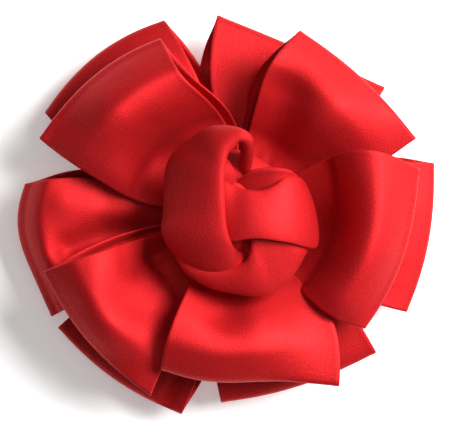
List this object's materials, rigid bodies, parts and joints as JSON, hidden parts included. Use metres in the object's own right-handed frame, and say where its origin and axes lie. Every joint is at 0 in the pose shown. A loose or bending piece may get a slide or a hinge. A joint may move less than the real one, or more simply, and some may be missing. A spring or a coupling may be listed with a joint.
{
  "type": "flower hair clip",
  "caption": "Satin ribbon flower of two gathered rosettes of folded loops round a tied knot, on a felt backing with a sprung alligator hair clip.",
  "frame": {"origin": "on the flat outer face of the clip's lower arm, under the middle of the flower", "axes": "+Z out of the flower's face, +X along the clip from its jaw tip to its finger levers, +Y across the clip towards the flower's upper edge"},
  "size_m": [0.1259, 0.1215, 0.0462],
  "materials": {
    "satin": "red polyester satin ribbon with a soft broad sheen",
    "wadding": "loose polyester wadding",
    "thread": "matt red sewing thread",
    "felt": "matt red craft felt",
    "nickel": "nickel-plated pressed steel",
    "spring_steel": "bright drawn spring wire"
  },
  "bodies": {
    "flower": {"back_loop_1": "satin", "back_loop_2": "satin", "back_loop_3": "satin", "back_loop_4": "satin", "back_loop_5": "satin", "back_loop_6": "satin", "front_loop_1": "satin", "front_loop_2": "satin", "front_loop_3": "satin", "front_loop_4": "satin", "front_loop_5": "satin", "knot_ribbon": "satin", "knot_core": "wadding", "centre_stitching": "thread", "back_gathering_thread": "thread", "front_gathering_thread": "thread", "felt_base": "felt", "felt_strap": "felt", "upper_arm": "nickel", "hinge_pin": "nickel", "torsion_spring": "spring_steel"},
    "jaw": {"lower_arm": "nickel"}
  },
  "joints": [
    {"name": "jaw_hinge", "type": "hinge", "parent": "flower", "child": "jaw", "pos_m": [0.009, 0, 0.0054], "axis": [0, -1, 0], "range_deg": [0, 22], "stiffness_Nm_per_rad": 0.1, "springref_deg": -28.65, "deforming": ["torsion_spring"]}
  ]
}
